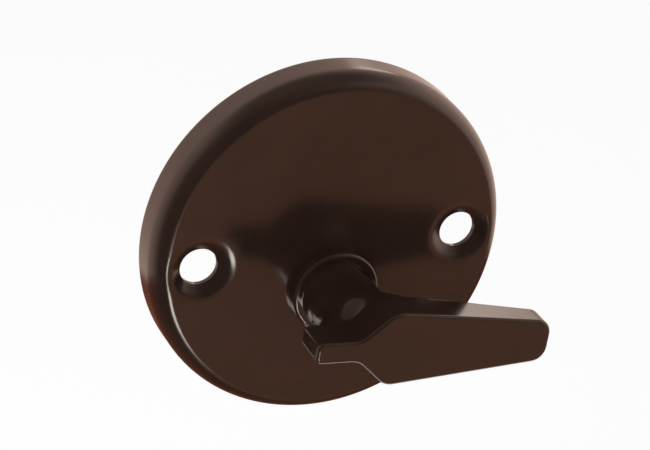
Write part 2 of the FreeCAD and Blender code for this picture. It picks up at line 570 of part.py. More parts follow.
recess.addConstraint(Sketcher.Constraint("Coincident", 3, 2, 0, 1))
bind(recess, "recess_radius", "Sizes.stop_recess_radius", "Radius", 0, recess_inner)
bind(recess, "recess_outside", "Sizes.journal_radius + Sizes.cut_margin", "Radius", 2, recess_outer)
bind(recess, "recess_end", "90 deg + asin(Sizes.key_width / 2 / (Sizes.journal_radius"
     " + Sizes.running_clearance - Sizes.key_reach)) + (Sizes.lever_angle + Sizes.stop_margin) * 1 deg",
     "Angle", 1, math.radians(recess_end))
bind(recess, "recess_start", "270 deg - asin(Sizes.key_width / 2 / (Sizes.journal_radius"
     " + Sizes.running_clearance - Sizes.key_reach))"
     " + (Sizes.lever_angle - Sizes.travel - Sizes.stop_margin) * 1 deg",
     "Angle", 3, math.radians(recess_start + 180))
doc.recompute()
pocket(thumb, "stop_recess", recess, "Sizes.rose_depth + Sizes.face_gap - Sizes.journal_end")

# Behind the rose come a wave spring, a plain washer and the retaining ring in its groove.
groove_section = new_sketch(thumb, "ring_groove_section", "XZ_Plane")
groove_front = ("Sizes.rose_depth - Sizes.sheet - Sizes.spring_height - Sizes.washer_sheet"
                " - 3 * Sizes.stack_gap")
groove_section.setExpression("AttachmentOffset.Base.z", groove_front)
circle(groove_section, "groove_floor", "Sizes.ring_groove_radius", radius=size("ring_groove_radius"))
circle(groove_section, "groove_outside", "Sizes.journal_radius + Sizes.cut_margin",
       radius=size("journal_radius") + size("cut_margin"))
pocket(thumb, "ring_groove", groove_section, "Sizes.ring_sheet + 2 * Sizes.stack_gap")

# A square socket takes the spindle from behind.
socket_section = new_sketch(thumb, "socket_section", "XZ_Plane", offset_expression="Sizes.journal_end")


def square(sketch, side):
    """A bound square about the origin of a sketch."""
    half = size(side) / 2
    corner = [V(-half, -half, 0), V(half, -half, 0), V(half, half, 0), V(-half, half, 0)]
    for begin, end in zip(corner, corner[1:] + corner[:1]):
        sketch.addGeometry(Part.LineSegment(begin, end))
    for line in range(4):
        sketch.addConstraint(Sketcher.Constraint("Coincident", line, 2, (line + 1) % 4, 1))
    sketch.addConstraint(Sketcher.Constraint("Horizontal", 0))
    sketch.addConstraint(Sketcher.Constraint("Vertical", 1))
    sketch.addConstraint(Sketcher.Constraint("Horizontal", 2))
    sketch.addConstraint(Sketcher.Constraint("Vertical", 3))
    sketch.addConstraint(Sketcher.Constraint("Symmetric", 0, 1, 1, 2, -1, 1))
    bind(sketch, "side", "Sizes." + side, "DistanceX", 0, 1, 0, 2, size(side))
    bind(sketch, "other_side", "Sizes." + side, "DistanceY", 1, 1, 1, 2, size(side))


square(socket_section, "spindle_square")
pocket(thumb, "spindle_socket", socket_section, "Sizes.socket_depth", reverse=True)


def lay_on_hub(body):
    """Puts a body's own origin on the hub's axis, turned to the angle of the lever at rest."""
    body.Placement = FreeCAD.Placement(V(0, 0, -size("hub_drop")),
                                       FreeCAD.Rotation(V(0, 1, 0), size("lever_angle")))
    body.setExpression("Placement.Base.z", "-Sizes.hub_drop")
    body.setExpression("Placement.Rotation.Angle", "Sizes.lever_angle * 1 deg")


lay_on_hub(thumb)

# The spindle: a plain square bar pressed into the turn, long enough for the bolt behind it.
spindle = new_body("spindle")
bar_section = new_sketch(spindle, "bar_section", "XZ_Plane",
                         offset_expression="Sizes.journal_end + Sizes.socket_depth")
square(bar_section, "spindle_square")
bar = pad(spindle, "bar", bar_section,
          "Sizes.spindle_behind_door + Sizes.journal_end + Sizes.socket_depth", reverse=True)
far_end = -size("spindle_behind_door")
bar_end = spindle.newObject("PartDesign::Chamfer", "bar_end")
bar_end.Base = (bar, [f"Edge{i}" for i, item in enumerate(bar.Shape.Edges, start=1)
                      if flat_at(item, far_end)])
bar_end.setExpression("Size", "Sizes.spindle_chamfer")
doc.recompute()
lay_on_hub(spindle)

# The plain washer and the retaining ring turn with the journal.
WASHER_RADIUS = "(Sizes.journal_radius + Sizes.washer_width)"
washer_radius = size("journal_radius") + size("washer_width")
washer = new_body("thrust_washer")
washer_section = new_sketch(washer, "washer_section", "XZ_Plane", offset_expression=(
    "Sizes.rose_depth - Sizes.sheet - Sizes.spring_height - 2 * Sizes.stack_gap - Sizes.washer_sheet"))
circle(washer_section, "washer_radius", WASHER_RADIUS, radius=washer_radius)
circle(washer_section, "washer_hole", "Sizes.journal_radius + Sizes.running_clearance",
       radius=size("journal_radius") + size("running_clearance"))
pad(washer, "washer_blank", washer_section, "Sizes.washer_sheet")
lay_on_hub(washer)

# The retaining ring is a sprung open ring, thickest opposite its opening, with two drilled lugs.
RING_INSIDE = "(Sizes.ring_groove_radius + Sizes.running_clearance)"
ring_inside = size("ring_groove_radius") + size("running_clearance")
lug_rise = ring_inside + size("ring_lug_rise")
ring = new_body("retaining_ring")
ring_back = ("Sizes.rose_depth - Sizes.sheet - Sizes.spring_height - Sizes.washer_sheet"
             " - 4 * Sizes.stack_gap - Sizes.ring_sheet")
ring_section = new_sketch(ring, "ring_section", "XZ_Plane", offset_expression=ring_back)
outer = circle(ring_section, "ring_outer", RING_INSIDE + " + Sizes.ring_width", (0, -size("ring_offset")),
               ring_inside + size("ring_width"))
ring_section.addConstraint(Sketcher.Constraint("PointOnObject", outer, 3, -2))
bind(ring_section, "ring_offset", "Sizes.ring_offset", "DistanceY", outer, 3, -1, 1, size("ring_offset"))
circle(ring_section, "ring_inner", RING_INSIDE, radius=ring_inside)
ring_blank = pad(ring, "ring_blank", ring_section, "Sizes.ring_sheet")

for side, name in ((1, "right"), (-1, "left")):
    lug_section = new_sketch(ring, name + "_lug_section", "XZ_Plane", offset_expression=ring_back)
    lug_x = side * (size("ring_opening") / 2 + size("ring_lug_side"))
    lug = circle(lug_section, "lug_radius", "Sizes.ring_lug_radius", (lug_x, lug_rise),
                 size("ring_lug_radius"))
    inward, outward = (-1, lug) if side > 0 else (lug, -1)
    first, second = (1, 3) if side > 0 else (3, 1)
    bind(lug_section, "lug_side", "Sizes.ring_opening / 2 + Sizes.ring_lug_side", "DistanceX",
         inward, first, outward, second, abs(lug_x))
    bind(lug_section, "lug_place", RING_INSIDE + " + Sizes.ring_lug_rise", "DistanceY", -1, 1, lug, 3,
         lug_rise)
    hole_in_lug = circle(lug_section, "lug_hole", "Sizes.ring_lug_hole",
                         (lug_x, lug_rise), size("ring_lug_hole"))
    lug_section.addConstraint(Sketcher.Constraint("Coincident", hole_in_lug, 3, lug, 3))
    pad(ring, name + "_lug", lug_section, "Sizes.ring_sheet")

opening_section = new_sketch(ring, "opening_section", "XZ_Plane", offset_expression=(
    ring_back + " + Sizes.ring_sheet"))
half_opening, far = size("ring_opening") / 2, lug_rise + 2 * size("ring_lug_radius")
corner = [V(-half_opening, 0, 0), V(half_opening, 0, 0), V(half_opening, far, 0), V(-half_opening, far, 0)]
for begin, end in zip(corner, corner[1:] + corner[:1]):
    opening_section.addGeometry(Part.LineSegment(begin, end))
for line in range(4):
    opening_section.addConstraint(Sketcher.Constraint("Coincident", line, 2, (line + 1) % 4, 1))
opening_section.addConstraint(Sketcher.Constraint("Horizontal", 2))
opening_section.addConstraint(Sketcher.Constraint("Vertical", 1))
opening_section.addConstraint(Sketcher.Constraint("Vertical", 3))
opening_section.addConstraint(Sketcher.Constraint("PointOnObject", 0, 1, -1))
opening_section.addConstraint(Sketcher.Constraint("Symmetric", 0, 1, 0, 2, -1, 1))
bind(opening_section, "opening", "Sizes.ring_opening", "DistanceX", 0, 1, 0, 2, size("ring_opening"))
bind(opening_section, "opening_depth",
     RING_INSIDE + " + Sizes.ring_lug_rise + 2 * Sizes.ring_lug_radius", "DistanceY", 1, 1, 1, 2, far)
pocket(ring, "ring_gap", opening_section, "Sizes.ring_sheet")
ring.Placement = FreeCAD.Placement(V(0, 0, -size("hub_drop")), FreeCAD.Rotation(V(0, 1, 0), 180))
ring.setExpression("Placement.Base.z", "-Sizes.hub_drop")

# The wave spring is a flat washer bowed about an axis along the screw line: a slice of a thin wide
# tube cut to a ring. It presses the turn back, so the flange stays against the rose.
washer_gap = size("washer_hole_clearance")
bow_height = size("spring_height") - size("spring_sheet")
bow_radius = (washer_radius ** 2 + bow_height ** 2) / (2 * bow_height)
bow_expression = ("((" + WASHER_RADIUS + " ^ 2 + (Sizes.spring_height - Sizes.spring_sheet) ^ 2)"
                  " / (2 * (Sizes.spring_height - Sizes.spring_sheet)))")


def tube(name, outer_radius, inner_radius, length):
    """A tube made as one cylinder cut from another, both bound to the sizes."""
    parts = []
    for suffix, expression in (("_outside", outer_radius), ("_inside", inner_radius)):
        cylinder = doc.addObject("Part::Cylinder", name + suffix)
        cylinder.setExpression("Radius", expression)
        cylinder.setExpression("Height", length)
        parts.append(cylinder)
    cut = doc.addObject("Part::Cut", name)
    cut.Base, cut.Tool = parts
    return cut, parts


bowed_sheet, bowed_parts = tube("bowed_sheet", bow_expression, bow_expression + " - Sizes.spring_sheet",
                                WASHER_RADIUS + " * 3")
spring_front = size("rose_depth") - size("sheet") - size("stack_gap")
for part in bowed_parts:
    part.Placement = FreeCAD.Placement(V(-1.5 * washer_radius, bow_radius - spring_front, -size("hub_drop")),
                                       FreeCAD.Rotation(V(0, 1, 0), 90))
    part.setExpression("Placement.Base.x", "-1.5 * " + WASHER_RADIUS)
    part.setExpression("Placement.Base.y", bow_expression
                       + " - (Sizes.rose_depth - Sizes.sheet - Sizes.stack_gap)")
    part.setExpression("Placement.Base.z", "-Sizes.hub_drop")
ring_blank_shape, ring_parts = tube("spring_ring", WASHER_RADIUS,
                                    "Sizes.journal_radius + Sizes.washer_hole_clearance",
                                    "Sizes.rose_depth")
for part in ring_parts:
    part.Placement = FreeCAD.Placement(V(0, 0, -size("hub_drop")), FreeCAD.Rotation(V(1, 0, 0), 90))
    part.setExpression("Placement.Base.z", "-Sizes.hub_drop")
spring = doc.addObject("Part::Common", "wave_washer")
spring.Base, spring.Tool = bowed_sheet, ring_blank_shape
spring.Label = "wave_washer"
doc.recompute()

# Nothing is written until every object has been worked out and every piece is one sound solid.
for item in doc.Objects:
    if "Invalid" in item.State or "Error" in item.State:
        raise RuntimeError(f"{item.Name} failed: {item.State}")
os.makedirs("parts", exist_ok=True)
pieces = [rose, thumb, spindle, spring, washer, ring]
for piece in pieces:
    if piece.Shape.isNull() or not piece.Shape.isValid() or len(piece.Shape.Solids) != 1:
        raise RuntimeError(piece.Label + " is not one valid solid")
for piece in pieces:
    piece.Shape.exportStep(f"parts/{piece.Label}.step")
    box = piece.Shape.optimalBoundingBox()
    spans = [round(value, 2) for value in (box.XMin, box.XMax, box.YMin, box.YMax, box.ZMin, box.ZMax)]
    print(f"{piece.Label}: {round(piece.Shape.Volume, 1)} mm3, spans {spans}")
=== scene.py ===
import bmesh
import bpy
import math
from mathutils import Matrix, Vector
from mathutils.geometry import delaunay_2d_cdt


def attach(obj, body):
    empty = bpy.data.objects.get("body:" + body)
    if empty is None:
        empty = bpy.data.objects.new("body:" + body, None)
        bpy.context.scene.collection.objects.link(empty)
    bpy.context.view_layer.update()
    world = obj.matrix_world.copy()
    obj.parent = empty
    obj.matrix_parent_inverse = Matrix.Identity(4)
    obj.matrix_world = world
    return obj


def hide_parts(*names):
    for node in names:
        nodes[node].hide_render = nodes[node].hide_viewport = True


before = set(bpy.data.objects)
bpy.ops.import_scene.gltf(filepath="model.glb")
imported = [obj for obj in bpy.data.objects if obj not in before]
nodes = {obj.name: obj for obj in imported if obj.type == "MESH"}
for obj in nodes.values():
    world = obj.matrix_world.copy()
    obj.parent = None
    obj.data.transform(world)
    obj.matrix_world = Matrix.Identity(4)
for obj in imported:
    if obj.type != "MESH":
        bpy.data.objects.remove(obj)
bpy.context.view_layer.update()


# The camera stands 28 cm off, to the left of the lock and above it, as a small product is photographed.
# Its place and axes are in the frame of the part: +X along the screws, +Z up, -Y towards the viewer.
CAMERA_PLACE = Vector((-0.09636, -0.22588, 0.12859))
CAMERA_RIGHT = Vector((0.92676, -0.37233, 0.04975))
CAMERA_UP = Vector((0.13137, 0.44531, 0.88568))
CAMERA_LENS = 110.77

camera_data = bpy.data.cameras.new("camera")
camera_data.lens = CAMERA_LENS
camera_data.sensor_width = 36.0
camera_data.clip_start = 0.01
camera = bpy.data.objects.new("camera", camera_data)
bpy.context.scene.collection.objects.link(camera)
camera_back = CAMERA_RIGHT.cross(CAMERA_UP).normalized()
camera_turn = Matrix((CAMERA_RIGHT, CAMERA_UP, camera_back)).transposed()
camera.matrix_world = Matrix.Translation(CAMERA_PLACE) @ camera_turn.to_4x4()
bpy.context.scene.camera = camera


# The studio is a white tent, open towards the camera, over a pale table that stands well below the lock.
# Glossy enamel shows what stands round it, so mirrored rays see the tent's walls, the dim room in front of
# them, the warm table edge and one narrow strip light; all other light is plain and soft.
# Directions are in the frame of the part, and a pair says where a soft edge starts and where it has ended.
PLAIN_LEVEL = 0.52
TENT_COLOUR = (1.08, 0.76, 0.63, 1)
TENT_SKEW = 0.55
TENT_EDGE = (-0.85, 0.0)
TENT_ROOF = (0.55, 0.92)
ROOF_LEVEL = 0.30
TENT_RIGHT = (0.70, 0.95)
RIGHT_LEVEL = 1.7
REAR_LAMP_COLOUR = (3.3, 2.7, 2.4, 1)
REAR_LAMP_TOWARDS = (0.55, 0.745, 0.37)
ROOM_COLOUR = (0.085, 0.065, 0.058, 1)
UNDER_TABLE_COLOUR = (0.26, 0.08, 0.045, 1)
UNDER_TABLE_EDGE = (-0.545, -0.505)
TABLE_COLOUR = (0.68, 0.32, 0.20, 1)
TABLE_TOWARDS = (0.35, -0.75, -0.55)
STRIP_COLOUR = (1.0, 0.93, 0.88, 1)
STRIP_STRENGTH = 15.0
STRIP_ACROSS = -0.04
STRIP_HALF_WIDTH = (0.09, 0.17)
STRIP_UP = -0.56
STRIP_HALF_HEIGHT = (0.03, 0.14)

world = bpy.data.worlds.new("studio")
world.use_nodes = True
bpy.context.scene.world = world
studio = world.node_tree
background = studio.nodes["Background"]


def add_node(tree, kind, **settings):
    """A node of a kind in a tree, with its settings."""
    node = tree.nodes.new("ShaderNode" + kind)
    for name, value in settings.items():
        setattr(node, name, value)
    return node


def join(tree, source, target):
    """Feed a socket from another socket, or set it to a plain value."""
    if isinstance(source, bpy.types.NodeSocket):
        tree.links.new(source, target)
    else:
        target.default_value = source


def arithmetic(tree, operation, first, second=0.0, third=0.0):
    """The value of one sum on numbers or sockets."""
    node = add_node(tree, "Math", operation=operation)
    join(tree, first, node.inputs[0])
    join(tree, second, node.inputs[1])
    join(tree, third, node.inputs[2])
    return node.outputs[0]


def soft_step(tree, value, start, end, low=0.0, high=1.0):
    """A value that goes smoothly from low at start to high at end."""
    node = add_node(tree, "MapRange", interpolation_type="SMOOTHSTEP")
    for socket, setting in zip(node.inputs, (value, start, end, low, high)):
        join(tree, setting, socket)
    return node.outputs[0]


def blend_colour(tree, share, first, second):
    """The first colour where the share is 0, and the second where it is 1."""
    node = add_node(tree, "Mix", data_type="RGBA")
    join(tree, share, node.inputs["Factor"])
    join(tree, first, node.inputs[6])
    join(tree, second, node.inputs[7])
    return node.outputs[2]


sky = add_node(studio, "TexCoord").outputs["Generated"]
axes = add_node(studio, "SeparateXYZ")
join(studio, sky, axes.inputs[0])
across, away, up = axes.outputs


def patch_of_sky(towards, inner, outer):
    """A soft round patch of the studio, by the angles in degrees at which it starts to fade and has ended."""
    towards = Vector(towards).normalized()
    facing = add_node(studio, "VectorMath", operation="DOT_PRODUCT")
    join(studio, sky, facing.inputs[0])
    facing.inputs[1].default_value = towards
    outer_edge = math.cos(math.radians(outer))
    inner_edge = math.cos(math.radians(inner))
    return soft_step(studio, facing.outputs["Value"], outer_edge, inner_edge)


behind = arithmetic(studio, "MULTIPLY_ADD", across, TENT_SKEW, away)
tent = soft_step(studio, behind, *TENT_EDGE)
tent_top = soft_step(studio, up, *TENT_ROOF, 1.0, ROOF_LEVEL)
tent_right = soft_step(studio, across, *TENT_RIGHT, 1.0, RIGHT_LEVEL)
tent_level = arithmetic(studio, "MULTIPLY", tent_top, tent_right)
tent_light = add_node(studio, "VectorMath", operation="SCALE")
join(studio, TENT_COLOUR[:3], tent_light.inputs[0])
join(studio, tent_level, tent_light.inputs["Scale"])
above_edge = soft_step(studio, up, *UNDER_TABLE_EDGE)
walls = blend_colour(studio, above_edge, UNDER_TABLE_COLOUR, tent_light.outputs[0])
rear_lamp = patch_of_sky(REAR_LAMP_TOWARDS, inner=5, outer=8)
walls = blend_colour(studio, rear_lamp, walls, REAR_LAMP_COLOUR)
surroundings = blend_colour(studio, tent, ROOM_COLOUR, walls)
table = patch_of_sky(TABLE_TOWARDS, inner=20, outer=42)
surroundings = blend_colour(studio, table, surroundings, TABLE_COLOUR)
strip_across = arithmetic(studio, "ABSOLUTE", arithmetic(studio, "SUBTRACT", across, STRIP_ACROSS))
strip_up = arithmetic(studio, "ABSOLUTE", arithmetic(studio, "SUBTRACT", up, STRIP_UP))
strip = arithmetic(studio, "MULTIPLY", soft_step(studio, strip_across, *STRIP_HALF_WIDTH, 1.0, 0.0),
                   soft_step(studio, strip_up, *STRIP_HALF_HEIGHT, 1.0, 0.0))
strip = arithmetic(studio, "MULTIPLY", strip, arithmetic(studio, "LESS_THAN", away, 0.0))
strip_light = tuple(part * STRIP_STRENGTH for part in STRIP_COLOUR[:3]) + (1,)
surroundings = blend_colour(studio, strip, surroundings, strip_light)

light_path = add_node(studio, "LightPath")
plain = (PLAIN_LEVEL, PLAIN_LEVEL, PLAIN_LEVEL, 1)
seen = blend_colour(studio, light_path.outputs["Is Glossy Ray"], plain, surroundings)
white_rays = arithmetic(studio, "MAXIMUM", light_path.outputs["Is Camera Ray"],
                        light_path.outputs["Is Transmission Ray"])
join(studio, blend_colour(studio, white_rays, seen, (1, 1, 1, 1)), background.inputs["Color"])
background.inputs["Strength"].default_value = 1.0
bpy.context.scene.view_settings.view_transform = "Standard"

FLOOR_DROP = 0.22
FLOOR_HALF = 1.5
FLOOR_COLOUR = (0.82, 0.82, 0.82, 1)
FLOOR_GLOW = 0.50


def new_material(name):
    """A node material with its Principled shader."""
    material = bpy.data.materials.new(name)
    material.use_nodes = True
    tree = material.node_tree
    shader = next(node for node in tree.nodes if node.type == "BSDF_PRINCIPLED")
    return material, tree, shader


floor_mesh = bpy.data.meshes.new("floor")
floor_mesh.from_pydata([(x * FLOOR_HALF, y * FLOOR_HALF, -FLOOR_DROP)
                        for x, y in ((-1, -1), (1, -1), (1, 1), (-1, 1))], [], [(0, 1, 2, 3)])
floor = bpy.data.objects.new("floor", floor_mesh)
bpy.context.scene.collection.objects.link(floor)
floor_material, floor_tree, floor_shader = new_material("pale floor")
floor_shader.inputs["Base Color"].default_value = FLOOR_COLOUR
floor_shader.inputs["Roughness"].default_value = 0.9
floor_shader.inputs["Specular IOR Level"].default_value = 0.0
floor_shader.inputs["Emission Color"].default_value = (1, 1, 1, 1)
floor_path = add_node(floor_tree, "LightPath")
floor_seen = arithmetic(floor_tree, "MAXIMUM", floor_path.outputs["Is Camera Ray"],
                        floor_path.outputs["Is Glossy Ray"])
floor_seen = arithmetic(floor_tree, "MAXIMUM", floor_seen, floor_path.outputs["Is Transmission Ray"])
join(floor_tree, arithmetic(floor_tree, "MULTIPLY", floor_seen, FLOOR_GLOW),
     floor_shader.inputs["Emission Strength"])
floor.data.materials.append(floor_material)
floor.visible_glossy = False


def softbox(name, place, target, width, height, strength):
    """A rectangular lamp at a place, facing a target, and kept out of mirrored rays."""
    lamp_data = bpy.data.lights.new(name, "AREA")
    lamp_data.shape = "RECTANGLE"
    lamp_data.size = width
    lamp_data.size_y = height
    lamp_data.energy = strength
    lamp = bpy.data.objects.new(name, lamp_data)
    bpy.context.scene.collection.objects.link(lamp)
    lamp.location = place
    lamp.rotation_euler = (Vector(target) - Vector(place)).to_track_quat("-Z", "Y").to_euler()
    lamp.visible_glossy = False
    return lamp


softbox("left softbox", place=(-0.7, -0.5, 0.45), target=(0, 0, 0), width=0.5, height=0.5, strength=2.5)


# The rose is pressed from 1 mm steel sheet: a flat front, a soft bend and a drawn side with a rounded rim.
# Its two screw seats are pushed in as soft dimples, and a key is left in the bearing hole to stop the turn.
# The stove enamel has flowed smooth, with a faint peel, and lies thinner and duller on the inside.
ROSE_RADIUS = 0.0257
ROSE_DEPTH = 0.0065
ROSE_SHEET = 0.001
ROSE_DRAFT = math.radians(1.4)
BEND_ACROSS = 0.0023
BEND_ALONG = 0.0031
RIM_ROUND = 0.00015
SCREW_AXIS = 0.019
SCREW_HOLE_RADIUS = 0.00265
HOLE_EDGE_ROUND = 0.0004
DIMPLE_RADIUS = 0.0052
DIMPLE_LIP_ROUND = 0.0033
DIMPLE_SLOPE = math.radians(30)
BEARING_DROP = 0.0058
BEARING_RADIUS = 0.00555
KEY_HALF_WIDTH = 0.0008
KEY_TIP = 0.0048
ROSE_SEGMENTS = 240
BEND_STEPS = 18
BEND_CROWDING = 1.15
WALL_DEPTHS = (0.0040, 0.0050, 0.0060)
FLAT_MARGIN = 0.00006
SEAT_SEGMENTS = 96
SEAT_RINGS = 16
SEAT_RING_GAP = 0.00018
SEAT_RING_TURN = 0.0327
HOLE_EDGE_STEPS = 5
HOLE_BACK_CHAMFER = 0.00005
BEARING_STEPS = 90
INSIDE_ONLY = 1
MERGE_DISTANCE = 1e-8
OPENING_MARGIN = 3e-6
WELD_DISTANCE = 1e-6


def seat_distance(x, z):
    """How far a point is from the nearer screw axis."""
    return math.hypot(abs(x) - SCREW_AXIS, z)


def dimple_depth(distance):
    """How far the front is pushed in at a distance from a screw axis: a round lip, then a straight cone."""
    inward = DIMPLE_RADIUS - distance
    if inward <= 0:
        return 0.0
    lip_width = DIMPLE_LIP_ROUND * math.sin(DIMPLE_SLOPE)
    if inward <= lip_width:
        return DIMPLE_LIP_ROUND - math.sqrt(DIMPLE_LIP_ROUND ** 2 - inward ** 2)
    return DIMPLE_LIP_ROUND * (1 - math.cos(DIMPLE_SLOPE)) + (inward - lip_width) * math.tan(DIMPLE_SLOPE)


def ring_points(centre_x, centre_z, radius, count, start=0.0):
    """Points spaced evenly on a circle in the plane of the rose."""
    return [(centre_x + radius * math.cos(start + 2 * math.pi * step / count),
             centre_z + radius * math.sin(start + 2 * math.pi * step / count)) for step in range(count)]


def bearing_outline(grow):
    """The bearing hole with its key, all round, grown by a small width."""
    foot = math.acos(KEY_HALF_WIDTH / BEARING_RADIUS)
    sweep = math.pi + 2 * foot
    angles = [math.pi - foot + sweep * step / BEARING_STEPS for step in range(BEARING_STEPS + 1)]
    outline = [((BEARING_RADIUS + grow) * math.cos(angle), (BEARING_RADIUS + grow) * math.sin(angle))
               for angle in angles]
    outline += [(KEY_HALF_WIDTH - grow, KEY_TIP + grow), (-KEY_HALF_WIDTH + grow, KEY_TIP + grow)]
    return [(x, z - BEARING_DROP) for x, z in outline]


# The flat with its dimples is divided once, and stands for the front and, a sheet deeper, for the inside.
flat_radius = ROSE_RADIUS - BEND_ACROSS - ROSE_DEPTH * math.tan(ROSE_DRAFT)
outer_loop = ring_points(0, 0, flat_radius, ROSE_SEGMENTS)
bearing_loop = bearing_outline(0.0)
hole_edge_radius = SCREW_HOLE_RADIUS + HOLE_EDGE_ROUND * (1 - math.sin(DIMPLE_SLOPE))
seat_loops = [ring_points(side * SCREW_AXIS, 0, hole_edge_radius, SEAT_SEGMENTS) for side in (1, -1)]
flat_points = []
flat_lines = []
for loop in [outer_loop, bearing_loop] + seat_loops:
    first = len(flat_points)
    flat_points += loop
    flat_lines += [(first + step, first + (step + 1) % len(loop)) for step in range(len(loop))]
flat_points += ring_points(0, 0, flat_radius - FLAT_MARGIN, ROSE_SEGMENTS)
flat_points += bearing_outline(FLAT_MARGIN)
for side in (1, -1):
    for ring in range(1, SEAT_RINGS + 1):
        seat_ring = ring_points(side * SCREW_AXIS, 0, hole_edge_radius + SEAT_RING_GAP * ring, SEAT_SEGMENTS,
                                ring * SEAT_RING_TURN)
        flat_points += [point for point in seat_ring if math.hypot(*point) < flat_radius - 3 * FLAT_MARGIN]
flat_points = [Vector(point) for point in flat_points]
divided, _, triangles, _, _, _ = delaunay_2d_cdt(flat_points, flat_lines, [], INSIDE_ONLY, MERGE_DISTANCE)


def in_an_opening(x, z):
    """Whether a point lies in a screw hole or in the bearing hole."""
    from_bearing = math.hypot(x, z + BEARING_DROP)
    on_key = abs(x) < KEY_HALF_WIDTH and z + BEARING_DROP > KEY_TIP
    return seat_distance(x, z) < hole_edge_radius - OPENING_MARGIN or (
        from_bearing < BEARING_RADIUS - OPENING_MARGIN and not on_key)


kept_triangles = []
for corners in triangles:
    middle = sum((divided[corner] for corner in corners), Vector((0, 0))) / len(corners)
    if not in_an_opening(*middle):
        kept_triangles.append(corners)

rose_shape = bmesh.new()
outside = 0
inside = 1


def add_sheet(shift, finish):
    """One skin of the flat, with its dimples, at a depth behind the front."""
    points = [rose_shape.verts.new((spot.x, -ROSE_DEPTH + dimple_depth(seat_distance(*spot)) + shift, spot.y))
              for spot in divided]
    for corners in kept_triangles:
        rose_shape.faces.new([points[corner] for corner in corners]).material_index = finish


def add_strip(rows, finish):
    """Faces between rows of points that each go once round."""
    placed = [[rose_shape.verts.new(point) for point in row] for row in rows]
    for row, next_row in zip(placed, placed[1:]):
        for step in range(len(row)):
            after = (step + 1) % len(row)
            face = rose_shape.faces.new((row[step], row[after], next_row[after], next_row[step]))
            face.material_index = finish


add_sheet(0.0, outside)
add_sheet(ROSE_SHEET, inside)


def rose_row(radius, depth):
    """A row of points round the rose, at a radius and a depth behind the front, following the dimples."""
    return [(x, -ROSE_DEPTH + depth + dimple_depth(seat_distance(x, z)), z)
            for x, z in ring_points(0, 0, radius, ROSE_SEGMENTS)]


def leaned(radius, depth):
    """A radius drawn in by the draft of the side, towards the front."""
    return radius - (ROSE_DEPTH - depth) * math.tan(ROSE_DRAFT)


front_profile = []
inner_profile = []
for turn in (math.radians(90) * (step / BEND_STEPS) ** BEND_CROWDING for step in range(BEND_STEPS + 1)):
    along = BEND_ALONG * (1 - math.cos(turn))
    radius = leaned(ROSE_RADIUS - BEND_ACROSS * (1 - math.sin(turn)), along)
    lean = math.atan2(BEND_ALONG * math.sin(turn), BEND_ACROSS * math.cos(turn))
    front_profile.append((radius, along))
    inner_profile.append((radius - ROSE_SHEET * math.sin(lean), along + ROSE_SHEET * math.cos(lean)))
for depth in WALL_DEPTHS + (ROSE_DEPTH - RIM_ROUND,):
    front_profile.append((leaned(ROSE_RADIUS, depth), depth))
    inner_profile.append((leaned(ROSE_RADIUS, depth) - ROSE_SHEET, depth))
for turn in (math.radians(30), math.radians(60), math.radians(90)):
    rounded = RIM_ROUND * (1 - math.cos(turn))
    depth = ROSE_DEPTH - RIM_ROUND * (1 - math.sin(turn))
    front_profile.append((leaned(ROSE_RADIUS, depth) - rounded, depth))
    inner_profile.append((leaned(ROSE_RADIUS, depth) - ROSE_SHEET + rounded, depth))
side_profile = front_profile + inner_profile[::-1]
turned_over = len(front_profile)
rows = [rose_row(radius, depth) for radius, depth in side_profile]
add_strip(rows[:turned_over + 1], outside)
add_strip(rows[turned_over:], inside)

# Each screw hole has a rounded front edge, and its wall runs straight back through the dimple.
for side in (1, -1):
    hole_rows = []
    for step in range(HOLE_EDGE_STEPS + 1):
        turn = DIMPLE_SLOPE + (math.radians(90) - DIMPLE_SLOPE) * step / HOLE_EDGE_STEPS
        rounded = HOLE_EDGE_ROUND * (1 - math.sin(turn))
        drop = HOLE_EDGE_ROUND * (math.cos(DIMPLE_SLOPE) - math.cos(turn))
        hole_rows.append((SCREW_HOLE_RADIUS + rounded, dimple_depth(hole_edge_radius) + drop))
    back = dimple_depth(hole_edge_radius) + ROSE_SHEET
    hole_rows += [(SCREW_HOLE_RADIUS, back - HOLE_BACK_CHAMFER),
                  (SCREW_HOLE_RADIUS + HOLE_BACK_CHAMFER, back), (hole_edge_radius, back)]
    rows = []
    for radius, depth in hole_rows:
        spots = ring_points(side * SCREW_AXIS, 0, radius, SEAT_SEGMENTS)
        rows.append([(x, -ROSE_DEPTH + depth, z) for x, z in spots][::-1])
    add_strip(rows, outside)
bearing_rows = [[(x, -ROSE_DEPTH + depth, z) for x, z in bearing_loop][::-1] for depth in (0.0, ROSE_SHEET)]
add_strip(bearing_rows, outside)
bmesh.ops.remove_doubles(rose_shape, verts=rose_shape.verts, dist=WELD_DISTANCE)
bmesh.ops.recalc_face_normals(rose_shape, faces=rose_shape.faces)


def finished_piece(name, shape, sharpest):
    """An object of a mesh, smooth but for edges that turn by more than an angle in degrees."""
    mesh = bpy.data.meshes.new(name)
    shape.to_mesh(mesh)
    shape.free()
    mesh.shade_smooth()
    mesh.set_sharp_from_angle(angle=math.radians(sharpest))
    piece = bpy.data.objects.new(name, mesh)
    bpy.context.scene.collection.objects.link(piece)
    return piece


rose = finished_piece("pressed_rose", rose_shape, sharpest=40)
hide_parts("cover_plate")
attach(rose, "rose")

